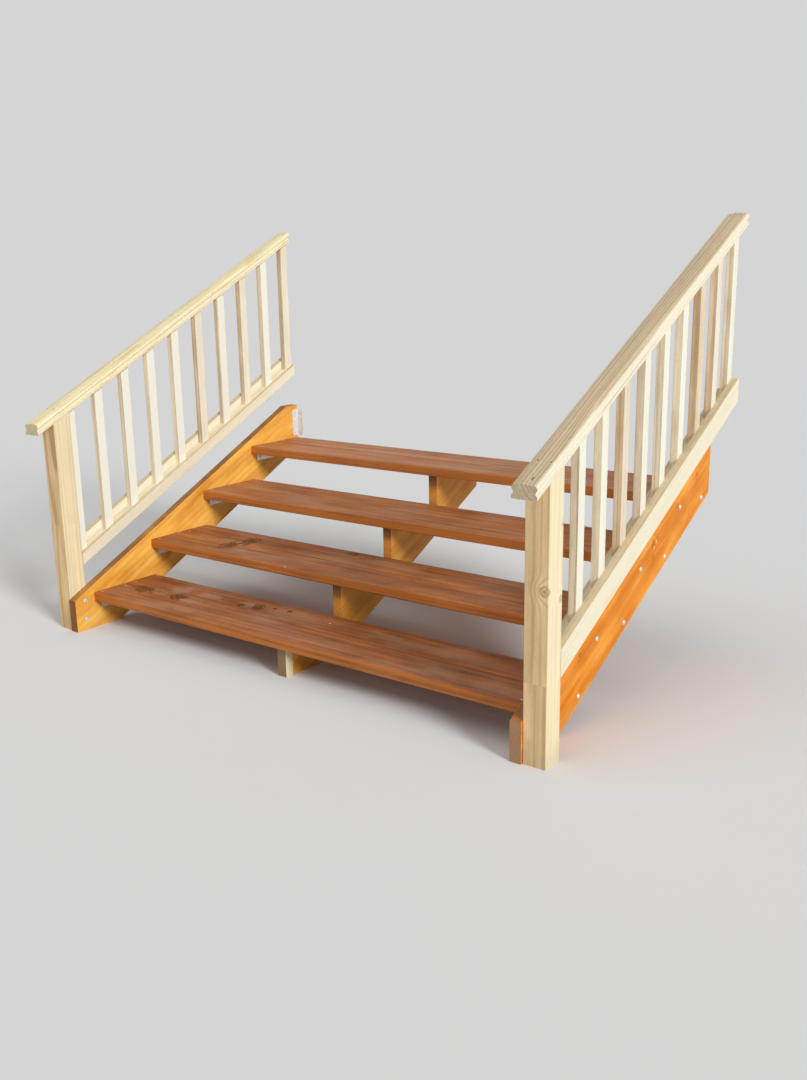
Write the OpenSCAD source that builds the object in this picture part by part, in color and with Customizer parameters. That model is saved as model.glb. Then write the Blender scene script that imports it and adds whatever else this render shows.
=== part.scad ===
// Wooden deck stairs: four double-board treads between two raking stringers, a notched
// carriage under the middle, and a balustrade on each side that rakes at the same pitch.
// Sizes are in millimetres. X runs across the stair, Y runs up it towards the deck, Z is up.
// The face of the deck is the plane Y = 0. The origin lies on that plane, in the middle of
// the carriage's upper end, where it bears on the deck.

/* [Stair] */
// Clear width between the two stringers
stair_w = 2320; // [1200:10:2600]
// Height from one tread to the next, and from the top tread to the deck
rise = 178; // [150:1:190]
// Distance from one nosing to the next
going = 356; // [330:1:370]
// Height from the ground to the lowest tread
first_rise = 168; // [140:1:190]

/* [Treads] */
// Thickness of a tread board
tread_t = 42; // [32:1:50]
// Width of a tread board
tread_board_w = 180; // [165:1:190]
// Open joint between the two boards of a tread
tread_joint = 5; // [2:1:10]
// Clearance between a tread's end and the stringer
tread_end_gap = 1; // [0.5:0.5:3]
// Gap between the top tread and the face of the deck
deck_gap = 3; // [1:1:10]
// Radius of the eased long edges of a tread board
tread_arris = 5; // [2:1:8]

/* [Stringers] */
// Thickness of a stringer
stringer_t = 45; // [38:1:60]
// Depth of a stringer, square to its edges
stringer_depth = 245; // [235:1:290]
// Height of a stringer's upper edge above the line of the nosings
stringer_above = 36; // [25:1:60]
// Distance that a stringer's front end stands ahead of the lowest nosing
stringer_ahead = 107; // [104:1:140]
// Radius of a stringer's eased edges
stringer_arris = 4; // [2:1:8]

/* [Carriage] */
// Thickness of the notched carriage
carriage_t = 46; // [38:1:60]
// Timber left behind the notches, square to the pitch
carriage_throat = 88; // [70:1:110]
// Overhang of each tread in front of the carriage's plumb cuts
nosing = 26; // [10:1:40]
// Depth of the stake in front of the carriage's foot
stake_d = 40; // [30:1:60]

/* [Newels] */
// Side of a square newel post
newel_w = 90; // [80:1:110]
// Distance that a newel's front face stands ahead of the lowest nosing
newel_ahead = 99; // [90:1:103]
// Radius of a newel's eased corners
newel_arris = 4; // [2:1:8]
// Height of the lower newel bolt above the ground
newel_bolt_low = 50; // [40:1:60]
// Distance between the two newel bolts
newel_bolt_rise = 89; // [60:1:92]
// Distance from a newel's front face to its bolts
newel_bolt_in = 50; // [40:1:60]
// Bore for a newel bolt
newel_bolt_d = 12.5; // [10.5:0.5:14.5]
// Depth of a newel bolt's bore in the post
newel_bore = 70; // [50:1:75]

/* [Handrail] */
// Width of the handrail
handrail_w = 92; // [85:1:110]
// Depth of the handrail, square to its base
handrail_h = 45; // [40:1:55]
// Height of the handrail's top above the line of the nosings
handrail_top = 892; // [850:1:1000]
// Distance that the handrail runs on in front of the newel
handrail_ahead = 82; // [40:1:120]
// Depth of the hollow along each side
hollow_d = 6; // [4:1:8]
// Height of the hollow's centre above the base
hollow_up = 20; // [18:1:22]
// Radius of the hollow
hollow_r = 8; // [7.5:0.5:9]
// Radius of the rounded upper edges
top_r = 11; // [9:0.5:12]
// Height of the crown across the top
crown = 3; // [2:0.5:4]
// Radius of the eased square edges of the handrail and the bottom rail
rail_arris = 2.5; // [1:0.5:4]

/* [Bottom rail] */
// Width of the bottom rail
bottom_rail_w = 90; // [80:1:92]
// Depth of the bottom rail, square to its base
bottom_rail_h = 88; // [80:1:100]
// Plumb gap between a stringer's upper edge and the bottom rail
bottom_rail_lift = 95; // [60:1:120]
// Thickness of the upstand outside the rebate
upstand_t = 34; // [25:1:40]
// Depth of the rebate that the balusters stand in
rebate_d = 39; // [25:1:45]

/* [Balusters] */
// Thickness of a baluster, across the stair
baluster_t = 32; // [26:1:40]
// Width of a baluster, along the stair
baluster_w = 45; // [35:1:50]
// Radius of a baluster's eased corners
baluster_arris = 2; // [1:0.5:4]
// Distance that the rails run on past the face of the deck to the house post
rail_past = 42; // [20:1:60]

/* [Brackets] */
// Width of each leg of an angle bracket
leg_w = 40; // [36:1:42]
// Thickness of the bracket plate
plate_t = 3; // [2:0.5:4]
// Inside radius of a bracket's bend
bend_r = 3; // [1:0.5:6]
// Length of a tread bracket
tread_bracket_l = 274; // [250:1:290]
// Distance from the nosing to the front end of a tread bracket
tread_bracket_in = 40; // [30:1:50]
// Distance from a tread bracket's ends to its bolts
tread_bolt_end = 26; // [18:1:40]
// Distance from a tread's underside down to its bracket bolts
tread_bolt_drop = 16; // [14:1:22]
// Bore for a bracket bolt
bracket_bolt_d = 10.5; // [8.5:0.5:12.5]
// Height of a deck bracket
deck_bracket_h = 140; // [120:1:145]
// Distance from the top of the deck down to a deck bracket
deck_bracket_drop = 24; // [15:1:26]
// Distance from a deck bracket's ends to its screw holes
deck_screw_in = 17; // [12:1:25]
// Hole for a bracket screw
screw_d = 8; // [5:0.5:10]

/* [Hidden] */
treads = 4;
balusters = 10;
sides = ["left", "right"];
boards = ["front", "back"];
$fn = 32;
slack = 1;

// Pitch of the flight, and the plumb height of a thickness measured square to it
pitch = atan(rise / going);
function plumb(t) = t / cos(pitch);

// Nosings are counted from the lowest tread. All heights here are above the ground.
tread_d = 2 * tread_board_w + tread_joint;
tread_l = stair_w - 2 * tread_end_gap;
function nosing_y(k) = -deck_gap - tread_d - (treads - k) * going;
function tread_z(k) = first_rise + (k - 1) * rise;
function nosing_line(y) = tread_z(1) + (y - nosing_y(1)) * rise / going;
deck_z = tread_z(treads + 1);

// Plumb heights above the line of the nosings
stringer_base = stringer_above - plumb(stringer_depth);
bottom_rail_base = stringer_above + bottom_rail_lift;
ledge = bottom_rail_base + plumb(bottom_rail_h - rebate_d);
handrail_base = handrail_top - plumb(handrail_h);

// Where the parts lie along the stair
stringer_front = nosing_y(1) - stringer_ahead;
newel_front = nosing_y(1) - newel_ahead;
newel_back = newel_front + newel_w;
baluster_pitch = (rail_past - baluster_w - newel_back) / (balusters - 1);
newel_bolt_y = newel_front + newel_bolt_in;
newel_bolt_z = [newel_bolt_low, newel_bolt_low + newel_bolt_rise];
function bracket_y(k) = nosing_y(k) + tread_bracket_in;
function tread_bolts_y(k) = [
    bracket_y(k) + tread_bolt_end,
    bracket_y(k) + tread_bracket_l - tread_bolt_end
];

// The screws of a bracket stand in the middle of the flat part of a leg
leg_hole = (leg_w + plate_t + bend_r) / 2;
deck_bracket_base = deck_z - deck_bracket_drop - deck_bracket_h;
deck_screw_z = [
    deck_bracket_base + deck_screw_in,
    deck_bracket_base + deck_bracket_h - deck_screw_in
];

// Where the parts lie across the stair, from its middle
stringer_x = stair_w / 2;
newel_x = stringer_x + stringer_t;
baluster_x = newel_x + bottom_rail_w - upstand_t - baluster_t;

// The carriage follows the undersides of the treads and stands on the ground
function notch_y(k) = nosing_y(k) + nosing;
function seat_z(k) = tread_z(k) - tread_t;
function carriage_base(y) = seat_z(1) + (y - notch_y(2)) * rise / going - plumb(carriage_throat);
carriage_front = notch_y(1) + stake_d;
carriage_heel = notch_y(2) + (plumb(carriage_throat) - seat_z(1)) * going / rise;

// The origin is in the middle of the carriage's upper end
head_z = (seat_z(treads) + carriage_base(0)) / 2;

// Colours of the timbers and the galvanised steel
oiled = [0.55, 0.29, 0.17];
amber = [0.85, 0.50, 0.18];
pine = [0.90, 0.80, 0.60];
zinc = [0.75, 0.77, 0.79];

// Moves a part from heights above the ground to heights above the origin
module placed() {
    translate([0, 0, -head_z]) children();
}

// The left side is the right side mirrored
module on_side(s) {
    mirror([s == "left" ? 1 : 0, 0, 0]) children();
}

// A rectangle with its lower left corner at the origin and eased corners
module eased_rect(w, h, r) {
    translate([r, 0]) square([w - 2 * r, h]);
    translate([0, r]) square([w, h - 2 * r]);
    for (x = [r, w - r]) for (y = [r, h - r]) translate([x, y]) circle(r);
}

// A profile drawn across the stair, run up the pitch and cut plumb at both ends
module along_pitch(from, to, base) {
    run = to - from;
    spare = plumb(stringer_depth);
    intersection() {
        translate([0, from, nosing_line(from) + base])
            rotate([pitch, 0, 0])
                translate([0, -spare, 0])
                    rotate([-90, 0, 0])
                        linear_extrude(plumb(run) + 2 * spare)
                            mirror([0, 1]) children();
        translate([-stair_w, from, -stair_w])
            cube([2 * stair_w, run, 4 * stair_w]);
    }
}

// The slab between two lines that follow the pitch, across the whole stair
module pitch_slab(from, to, base, top) {
    translate([-stair_w, 0, 0])
        rotate([90, 0, 90])
            linear_extrude(2 * stair_w)
                polygon([
                    [from, nosing_line(from) + base],
                    [to, nosing_line(to) + base],
                    [to, nosing_line(to) + top],
                    [from, nosing_line(from) + top]
                ]);
}

// A bore that runs outward across the stair
module cross_bore(x, y, z, d, depth) {
    translate([x - slack, y, z]) rotate([0, 90, 0]) cylinder(h = depth + slack, d = d);
}

// The bores for the two bolts of one tread bracket
module tread_bolt_bores(k, x, depth) {
    for (y = tread_bolts_y(k))
        cross_bore(x, y, seat_z(k) - tread_bolt_drop, bracket_bolt_d, depth);
}

// The bores for the two bolts of a newel
module newel_bolt_bores(x, depth) {
    for (z = newel_bolt_z) cross_bore(x, newel_bolt_y, z, newel_bolt_d, depth);
}

// Raking board with a plumb front end, a level foot and a level top at the deck
module stringer(s) {
    color(amber) placed() on_side(s) difference() {
        intersection() {
            translate([stringer_x, 0, 0])
                along_pitch(stringer_front, 0, stringer_base)
                    eased_rect(stringer_t, stringer_depth, stringer_arris);
            translate([0, stringer_front - slack, 0])
                cube([stair_w, 2 * slack - stringer_front, deck_z]);
        }
        for (k = [1:treads]) tread_bolt_bores(k, stringer_x, stringer_t + slack);
        newel_bolt_bores(stringer_x, stringer_t + slack);
    }
}

// Board notched under every tread, with a plumb head on the deck and a level foot
module carriage_centre() {
    steps = [for (k = [1:treads]) each [
        [k == 1 ? carriage_front : notch_y(k), seat_z(k)],
        [k == treads ? 0 : notch_y(k + 1), seat_z(k)]
    ]];
    color(amber) placed()
        translate([-carriage_t / 2, 0, 0])
            rotate([90, 0, 90])
                linear_extrude(carriage_t)
                    polygon(concat(
                        [[carriage_front, 0]],
                        steps,
                        [[0, carriage_base(0)], [carriage_heel, 0]]
                    ));
}

// Stake that pins the carriage's foot and carries the front of the lowest tread
module carriage_stake() {
    color(pine) placed()
        translate([-carriage_t / 2, carriage_front - stake_d, 0])
            cube([carriage_t, stake_d, seat_z(1)]);
}

// One of the two boards of a tread
module tread_board(k, b) {
    across = b == "front" ? 0 : tread_board_w + tread_joint;
    color(oiled) placed()
        translate([-tread_l / 2, nosing_y(k) + across, seat_z(k)])
            rotate([90, 0, 90])
                linear_extrude(tread_l)
                    eased_rect(tread_board_w, tread_t, tread_arris);
}

// Bent steel angle with its corner at the origin and its legs along +X and +Y
module angle_profile() {
    bend = bend_r + plate_t;
    translate([bend, 0]) square([leg_w - bend, plate_t]);
    translate([0, bend]) square([plate_t, leg_w - bend]);
    translate([bend, bend]) intersection() {
        difference() {
            circle(bend);
            circle(bend_r);
        }
        translate([-bend, -bend]) square(bend);
    }
}

// Angles bolted to a stringer, one under each tread's end
module tread_brackets(s) {
    color(zinc) placed() on_side(s) for (k = [1:treads]) difference() {
        translate([stringer_x, bracket_y(k), seat_z(k)])
            rotate([-90, 180, 0])
                mirror([0, 1, 0])
                    linear_extrude(tread_bracket_l) angle_profile();
        tread_bolt_bores(k, stringer_x - plate_t, plate_t + slack);
        for (y = tread_bolts_y(k))
            translate([stringer_x - leg_hole, y, seat_z(k) - plate_t - slack])
                cylinder(h = plate_t + 2 * slack, d = screw_d);
    }
}

// Upright angle that ties a stringer's upper end to the face of the deck
module deck_bracket(s) {
    color(zinc) placed() on_side(s) difference() {
        translate([stringer_x, 0, deck_bracket_base])
            rotate([0, 0, 180])
                linear_extrude(deck_bracket_h) angle_profile();
        for (z = deck_screw_z) {
            cross_bore(stringer_x - plate_t, -leg_hole, z, screw_d, plate_t + slack);
            translate([stringer_x - leg_hole, slack, z])
                rotate([90, 0, 0]) cylinder(h = plate_t + 2 * slack, d = screw_d);
        }
    }
}

// Square post outside the stringer, cut to the pitch under the handrail
module newel(s) {
    color(pine) placed() on_side(s) difference() {
        intersection() {
            translate([newel_x, newel_front, 0])
                linear_extrude(nosing_line(newel_back) + handrail_top)
                    eased_rect(newel_w, newel_w, newel_arris);
            pitch_slab(newel_front - slack, newel_back + slack,
                       -nosing_line(newel_back) - slack, handrail_base);
        }
        newel_bolt_bores(newel_x, newel_bore);
    }
}

// Handrail profile, centred on X: a flat base, a hollow along each side and a crowned top
module handrail_profile() {
    half = handrail_w / 2;
    shoulder = handrail_h - crown - top_r;
    crown_half = half - top_r;
    crown_r = (pow(crown_half, 2) + pow(crown, 2)) / (2 * crown);
    difference() {
        union() {
            translate([-half, 0]) eased_rect(handrail_w, shoulder, rail_arris);
            translate([-half, shoulder / 2]) square([handrail_w, shoulder / 2]);
            for (side = [-1, 1]) translate([side * crown_half, shoulder]) circle(top_r);
            translate([-crown_half, shoulder]) square([2 * crown_half, top_r]);
            intersection() {
                translate([0, handrail_h - crown_r]) circle(crown_r, $fn = 96);
                translate([-crown_half, shoulder]) square([2 * crown_half, top_r + crown]);
            }
        }
        for (side = [-1, 1])
            translate([side * (half + hollow_r - hollow_d), hollow_up]) circle(hollow_r);
    }
}

// Moulded rail over the newel and the balusters, cut plumb at both ends
module handrail(s) {
    color(pine) placed() on_side(s)
        translate([newel_x + newel_w / 2, 0, 0])
            along_pitch(newel_front - handrail_ahead, rail_past, handrail_base)
                handrail_profile();
}

// Rebated rail: the balusters stand on its inner ledge, against the outer upstand
module bottom_rail(s) {
    color(pine) placed() on_side(s)
        translate([newel_x, 0, 0])
            along_pitch(newel_back, rail_past, bottom_rail_base)
                difference() {
                    eased_rect(bottom_rail_w, bottom_rail_h, rail_arris);
                    translate([-slack, bottom_rail_h - rebate_d])
                        square([bottom_rail_w - upstand_t + slack, rebate_d + slack]);
                }
}

// Upright cut to the pitch at both ends, counted from the newel
module baluster(s, i) {
    front = newel_back + (i - 1) * baluster_pitch;
    color(pine) placed() on_side(s) intersection() {
        translate([baluster_x, front, 0])
            linear_extrude(nosing_line(front) + handrail_top)
                eased_rect(baluster_t, baluster_w, baluster_arris);
        pitch_slab(front - slack, front + baluster_w + slack, ledge, handrail_base);
    }
}

for (s = sides) stringer(s);
carriage_centre();
carriage_stake();
for (k = [1:treads]) for (b = boards)
    tread_board(k, b);
for (s = sides) tread_brackets(s);
for (s = sides) deck_bracket(s);
for (s = sides) newel(s);
for (s = sides) handrail(s);
for (s = sides) bottom_rail(s);
for (s = sides) for (i = [1:balusters])
    baluster(s, i);
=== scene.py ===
# %% [markdown]
# # A timber stair with open treads
# Four treads climb between two raking stringers, with a notched carriage under the middle and
# a balustrade on each side. The shapes and sizes could be drawn again here, but they come
# from the packed frame, so that they can't drift. This lesson gives every timber its own
# grain, adds the fixings that hold the stair together, and lights it plainly.

# %% Load the stair's frame
import math
import random

import bmesh
import bpy
from mathutils import Matrix, Vector


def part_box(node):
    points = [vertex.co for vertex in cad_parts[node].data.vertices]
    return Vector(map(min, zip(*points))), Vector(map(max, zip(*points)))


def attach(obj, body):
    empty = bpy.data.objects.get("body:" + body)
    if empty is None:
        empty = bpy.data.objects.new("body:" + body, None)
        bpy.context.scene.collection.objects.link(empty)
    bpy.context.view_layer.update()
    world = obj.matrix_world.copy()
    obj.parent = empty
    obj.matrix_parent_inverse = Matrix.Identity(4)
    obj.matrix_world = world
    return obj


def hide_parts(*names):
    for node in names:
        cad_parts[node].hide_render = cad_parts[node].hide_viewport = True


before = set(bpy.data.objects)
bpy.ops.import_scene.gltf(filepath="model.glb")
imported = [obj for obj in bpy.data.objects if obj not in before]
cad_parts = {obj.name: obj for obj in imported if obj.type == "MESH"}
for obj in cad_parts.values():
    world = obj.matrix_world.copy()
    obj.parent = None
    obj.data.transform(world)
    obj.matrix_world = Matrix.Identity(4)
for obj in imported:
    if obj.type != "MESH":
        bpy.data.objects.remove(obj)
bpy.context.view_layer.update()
print("nodes in the frame:", len(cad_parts))

# %% [markdown]
# ## The flight's own sizes
# A stair is set out from two numbers, the rise and the going, and everything that rakes
# follows the slope between them. Both could be typed in again, but measuring them on the
# packed treads means that a change to the stair carries through to its looks.

# %% Measure the rise, the going and the pitch
MM = 0.001


def low(node):
    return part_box(node)[0]


def high(node):
    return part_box(node)[1]


foot = low("newel_right").z
rise = high("tread_2_front").z - high("tread_1_front").z
going = low("tread_2_front").y - low("tread_1_front").y
pitch = math.atan2(rise, going)
print(f"rise {rise / MM:.0f} mm, going {going / MM:.0f} mm, pitch {math.degrees(pitch):.1f} degrees")

# %% [markdown]
# ## The camera
# The photograph looks at the stair from in front and to its right, at eye height and a little
# downward. A camera aimed at a target would be quicker, but the tilt and the slight lean of
# the picture matter when the render is laid over the photograph. So the camera is turned
# about one axis after another, as the head of a tripod is: pan, then tilt, then lean.

# %% Stand the camera at the photo's viewpoint
PHOTO_HEIGHT_PX = 1080
FOCAL_PX = 1076
FILM = 36.0
EYE_HEIGHT = 1.617
FARTHEST_SEEN = 500
eye = Vector((2.886, -4.386, foot + EYE_HEIGHT))
pan, tilt, lean = (math.radians(degrees) for degrees in (37.15, -14.33, -1.0))
level = math.radians(90)

camera = bpy.data.objects.new("camera", bpy.data.cameras.new("camera"))
bpy.context.scene.collection.objects.link(camera)
camera.data.sensor_width = FILM
camera.data.lens = FOCAL_PX / PHOTO_HEIGHT_PX * FILM
camera.data.clip_end = FARTHEST_SEEN
camera.matrix_world = (
    Matrix.Translation(eye)
    @ Matrix.Rotation(pan, 4, "Z")
    @ Matrix.Rotation(level + tilt, 4, "X")
    @ Matrix.Rotation(lean, 4, "Z")
)
bpy.context.scene.camera = camera
print(f"lens {camera.data.lens:.1f} mm, {EYE_HEIGHT:.2f} m above the foot of the stair")

# %% [markdown]
# ## Writing materials as sums
# Every finish here is a network of nodes. Placing each node by hand makes long code, so a
# small helper stands between: its methods take numbers or earlier results, make one node, and
# give back that node's output. A material then reads as the sums that it is.

# %% A bench for putting materials together
class Bench:
    """One material being put together."""

    def __init__(self, name):
        self.material = bpy.data.materials.new(name)
        self.material.use_nodes = True
        self.tree = self.material.node_tree
        self.surface = self.tree.nodes["Principled BSDF"]

    def node(self, kind, inputs, output=0, **settings):
        """Makes one shader node and gives back one of its outputs."""
        made = self.tree.nodes.new("ShaderNode" + kind)
        for key, value in settings.items():
            setattr(made, key, value)
        for key, value in inputs.items():
            self.feed(made.inputs[key], value)
        return made.outputs[output]

    def feed(self, socket, value):
        """Wires an earlier result to a socket, or sets a plain value on it."""
        if isinstance(value, bpy.types.NodeSocket):
            self.tree.links.new(value, socket)
        else:
            socket.default_value = value

    def paint(self, colour):
        self.feed(self.surface.inputs["Base Color"], colour)

    def sum(self, operation, *values):
        return self.node("Math", dict(enumerate(values)), operation=operation)

    def add(self, a, b):
        return self.sum("ADD", a, b)

    def times(self, a, b):
        return self.sum("MULTIPLY", a, b)

    def less(self, a, b):
        return self.sum("SUBTRACT", a, b)

    def stretch(self, vector, by):
        return self.node("VectorMath", {0: vector, 1: by}, operation="MULTIPLY")

    def distance(self, a, b):
        return self.node("VectorMath", {0: a, 1: b}, output="Value", operation="DISTANCE")

    def cloud(self, vector, scale, detail=2.0, output="Fac"):
        return self.node("TexNoise", {"Vector": vector, "Scale": scale, "Detail": detail}, output=output)

    def uneven(self, cloud, strength):
        """A cloud, which lies round a half, moved to lie round nought and given a strength."""
        return self.times(self.less(cloud, 0.5), strength)

    def fade(self, value, start, end, first=0.0, last=1.0):
        """Runs smoothly from first to last while the value runs from start to end."""
        return self.node("MapRange", {"Value": value, "From Min": start, "From Max": end,
                                      "To Min": first, "To Max": last}, interpolation_type="SMOOTHSTEP")

    def blend(self, share, first, second, how="MIX"):
        def colour(c):
            return c if isinstance(c, bpy.types.NodeSocket) else (*c, 1)
        return self.node("MixRGB", {"Fac": share, "Color1": colour(first), "Color2": colour(second)},
                         blend_type=how)

    def part(self, vector, letter):
        return self.node("SeparateXYZ", {"Vector": vector}, output=letter)

    def attribute(self, name, output="Fac"):
        return self.node("Attribute", {}, output=output, attribute_name=name)

    def place(self):
        """Where a spot lies on the stair, in metres."""
        return self.node("TexCoord", {}, output="Object")

    def facing(self, letter):
        """How far a spot faces along an axis, from -1 to 1."""
        return self.part(self.node("NewGeometry", {}, output="Normal"), letter)


print("what a bench can do:", ", ".join(name for name in vars(Bench) if not name.startswith("_")))

# %% [markdown]
# ## Light and floor
# In the photograph a low sun comes from the right and lights the sides of the posts more than
# their fronts. A studio keeps that direction but softens it: a wide key from the right, a
# weaker and much wider fill from overhead, and an even sky. Lamps close to the stair would
# leave bright pools on the floor. Distant lamps light the whole floor alike, so the shade
# that the open floor renders to is a plain sum, kept here for the backdrop.

# %% Hang the lamps
SKY = 0.34
KEY = dict(strength=2.46, towards=(-0.89, 0.28, -0.42), softness=16)
FILL = dict(strength=0.58, towards=(0.30, 0.25, -0.92), softness=70)
FLOOR_SHADE = 0.80


def hang_lamp(name, strength, towards, softness):
    """Hangs a distant lamp and gives back the light that it lays on a level floor."""
    lamp = bpy.data.lights.new(name, "SUN")
    lamp.energy = strength
    lamp.angle = math.radians(softness)
    hung = bpy.data.objects.new(name, lamp)
    hung.rotation_euler = Vector(towards).to_track_quat("-Z", "Y").to_euler()
    bpy.context.scene.collection.objects.link(hung)
    return strength * max(0, -Vector(towards).normalized().z) / math.pi


lamps_on_floor = hang_lamp("key", **KEY) + hang_lamp("fill", **FILL)
backdrop_shade = FLOOR_SHADE * (SKY + lamps_on_floor)
print(f"the open floor renders at {backdrop_shade:.2f}")

# %% [markdown]
# The sky has two jobs: it lights the stair, and it is the backdrop behind it. A brighter sky
# would do for the backdrop but would wash out the timber. A Light Path node tells the two
# apart, so that only the camera and the reflections see the floor's own shade.

# %% Paint the sky
sky = bpy.data.worlds.new("studio")
sky.use_nodes = True
bpy.context.scene.world = sky
sky_nodes, sky_links = sky.node_tree.nodes, sky.node_tree.links
background = sky_nodes["Background"]
background.inputs["Color"].default_value = (1, 1, 1, 1)
ray = sky_nodes.new("ShaderNodeLightPath")
looked_at = sky_nodes.new("ShaderNodeMath")
looked_at.operation = "MAXIMUM"
shade = sky_nodes.new("ShaderNodeMapRange")
shade.inputs["To Min"].default_value = SKY
shade.inputs["To Max"].default_value = backdrop_shade
sky_links.new(ray.outputs["Is Camera Ray"], looked_at.inputs[0])
sky_links.new(ray.outputs["Is Glossy Ray"], looked_at.inputs[1])
sky_links.new(looked_at.outputs[0], shade.inputs["Value"])
sky_links.new(shade.outputs[0], background.inputs["Strength"])
print(f"the sky lights at {SKY} and shows at {backdrop_shade:.2f}")

# %% [markdown]
# The floor is one wide sheet of matt plaster. A sheet alone would end in a faint line against
# the backdrop, because the two shades are never quite equal. So the plaster turns slowly into
# the backdrop's own shade, well away from the stair, and no line shows.

# %% Lay the floor
FLOOR_REACH = 120
FLOOR_FADES = (10, 40)

floor_mesh = bmesh.new()
bmesh.ops.create_grid(floor_mesh, x_segments=8, y_segments=8, size=FLOOR_REACH)
floor_data = bpy.data.meshes.new("floor")
floor_mesh.to_mesh(floor_data)
floor_mesh.free()
floor = bpy.data.objects.new("floor", floor_data)
floor.location.z = foot
bpy.context.scene.collection.objects.link(floor)
plaster = Bench("plaster_floor")
plaster.paint((FLOOR_SHADE, FLOOR_SHADE, FLOOR_SHADE, 1))
plaster.surface.inputs["Roughness"].default_value = 1
plaster.surface.inputs["Specular IOR Level"].default_value = 0
from_stair = plaster.distance(plaster.place(), (0, 0, 0))
seamless = plaster.node("Emission", {"Strength": backdrop_shade})
ended = plaster.node("MixShader", {0: plaster.fade(from_stair, *FLOOR_FADES),
                                   1: plaster.surface.outputs[0], 2: seamless})
plaster.feed(plaster.tree.nodes["Material Output"].inputs["Surface"], ended)
floor_data.materials.append(plaster.material)
bpy.context.scene.view_settings.view_transform = "Standard"
print(f"the floor reaches {FLOOR_REACH} m and fades from {FLOOR_FADES[0]} m on")

# %% [markdown]
# ## What makes timber look like timber
# A board is cut from a log, so its grain is the log's growth rings seen where the saw passed.
# A picture of wood stretched over each face would break at every corner. Instead every board
# carries its own log coordinates: how far along the log each point lies, and how far from the
# heart in two directions. Rings are then plain distances from the heart, and the faces, the
# edges and the sawn ends all agree, as they do in real wood. The log sways a little, some
# years are lean, and the rings swell round a knot.

# %% Growth rings from log coordinates
FAR_OFF = 9.0
SWAYS = (1.1, 6, 6)
YEARS_VARY, YEARS_ALIKE = 1.6, 0.55
SWELLING, SWELLING_ENDS = 2.6, 0.28
YEAR_DARKEST = 0.92
FAINTEST_YEAR = 0.45


def nearest_spot(bench, place, spots):
    """How near the nearest round spot is, in its own radii; spots are x, y, z and a radius."""
    nearest = FAR_OFF
    for x, y, z, radius in spots:
        nearest = bench.sum("MINIMUM", nearest,
                            bench.times(bench.distance(place, (x, y, z)), 1 / radius))
    return nearest


def growth_rings(bench, ring_width, late, wander, knots):
    """The log point, how much of a spot is dark latewood, and how near the nearest knot is."""
    log = bench.attribute("grain", "Vector")
    sway = bench.cloud(bench.stretch(log, SWAYS), 1.0, 1.0, "Color")
    swayed = bench.node("VectorMath", {0: sway, 1: (0, wander, wander), 2: log},
                        operation="MULTIPLY_ADD")
    heart_distance = bench.node("VectorMath", {0: bench.stretch(swayed, (0, 1, 1))},
                                output="Value", operation="LENGTH")
    nearest = nearest_spot(bench, bench.place(), knots)
    swelling = bench.sum("EXPONENT", bench.times(bench.times(nearest, nearest), -SWELLING_ENDS))
    heart_distance = bench.add(heart_distance, bench.times(swelling, SWELLING * ring_width))
    count = bench.times(heart_distance, 1 / ring_width)
    pace = bench.times(count, YEARS_ALIKE)
    lean_years = bench.node("TexNoise", {"W": pace, "Scale": 1.0, "Detail": 1.0}, noise_dimensions="1D")
    count = bench.add(count, bench.times(lean_years, YEARS_VARY))
    year = bench.sum("FRACT", count)
    darkens = bench.fade(year, YEAR_DARKEST - late, YEAR_DARKEST)
    ends = bench.fade(year, YEAR_DARKEST + 0.01, 1.0, 1.0, 0.0)
    strength = bench.node("TexWhiteNoise", {"W": bench.sum("FLOOR", count)}, noise_dimensions="1D")
    strength = bench.fade(strength, 0, 1, FAINTEST_YEAR, 1.0)
    return log, bench.times(bench.times(darkens, ends), strength), nearest


print(f"latewood is darkest {YEAR_DARKEST:.0%} of the way through a year's ring")

# %% [markdown]
# Over the rings lie finer things: short fibres, long bands where sap or stain ran, patches
# that took the finish differently, and speckles. They could be one noise, but each has its
# own length along the grain, so each is its own cloud, drawn out more or less. Together they
# only make a colour lighter or darker.

# %% Streaks and speckles along the grain
FIBRES, PATCHES = (18, 430, 430), (4.5, 15, 15)
BANDS, SPECKLES = (0.9, 60, 60), (60, 150, 150)
FIBRE_SHARE, BAND_SHARE = 1.1, 2.0


def streaked(bench, colour, log, fibres, patches, streaks, patchy, speckle):
    """The colour, made lighter and darker along the grain."""
    bands = bench.cloud(bench.stretch(log, BANDS), 1.0, 3.0)
    speckles = bench.cloud(bench.stretch(log, SPECKLES), 1.0, 3.0)
    shading = bench.uneven(fibres, FIBRE_SHARE * streaks)
    shading = bench.add(shading, bench.uneven(bands, BAND_SHARE * streaks))
    shading = bench.add(shading, bench.uneven(patches, patchy))
    shading = bench.add(shading, bench.uneven(speckles, speckle))
    shading = bench.add(shading, 1.0)
    grey = bench.node("CombineColor", {0: shading, 1: shading, 2: shading})
    return bench.blend(1.0, colour, grey, "MULTIPLY")


print("a band is drawn out", round(BANDS[1] / BANDS[0]), "times, a fibre", round(FIBRES[1] / FIBRES[0]))

# %% [markdown]
# Then come the things that happened to a board, and one painted light. The sides that face
# the key light are painted paler, as sunlight, over the light that the key already gives them.
# Knots are the feet of branches: finely ringed inside, with a dark rim and a dark pith. Rain
# splashes soil up whatever stands low. Each could be a material of its own, but one board has
# them all at once, so each is a step that takes a colour and gives back the changed one.

# %% Painted sunlight, knots and soil
# The colour that the sunlit sides are painted towards.
SUNLIT_PAINT_COLOUR = (0.80, 0.76, 0.595)
BROWN_KEEPS = 0.6
BRANCH_YEARS = 16.0
BRANCH_RIM = 0.30
SOIL_COLOUR = (0.150, 0.118, 0.080)
SOIL_ENDS, SOIL_FULL = foot + 0.06, foot - 0.09
SOIL_RAGGED = 0.16


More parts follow.
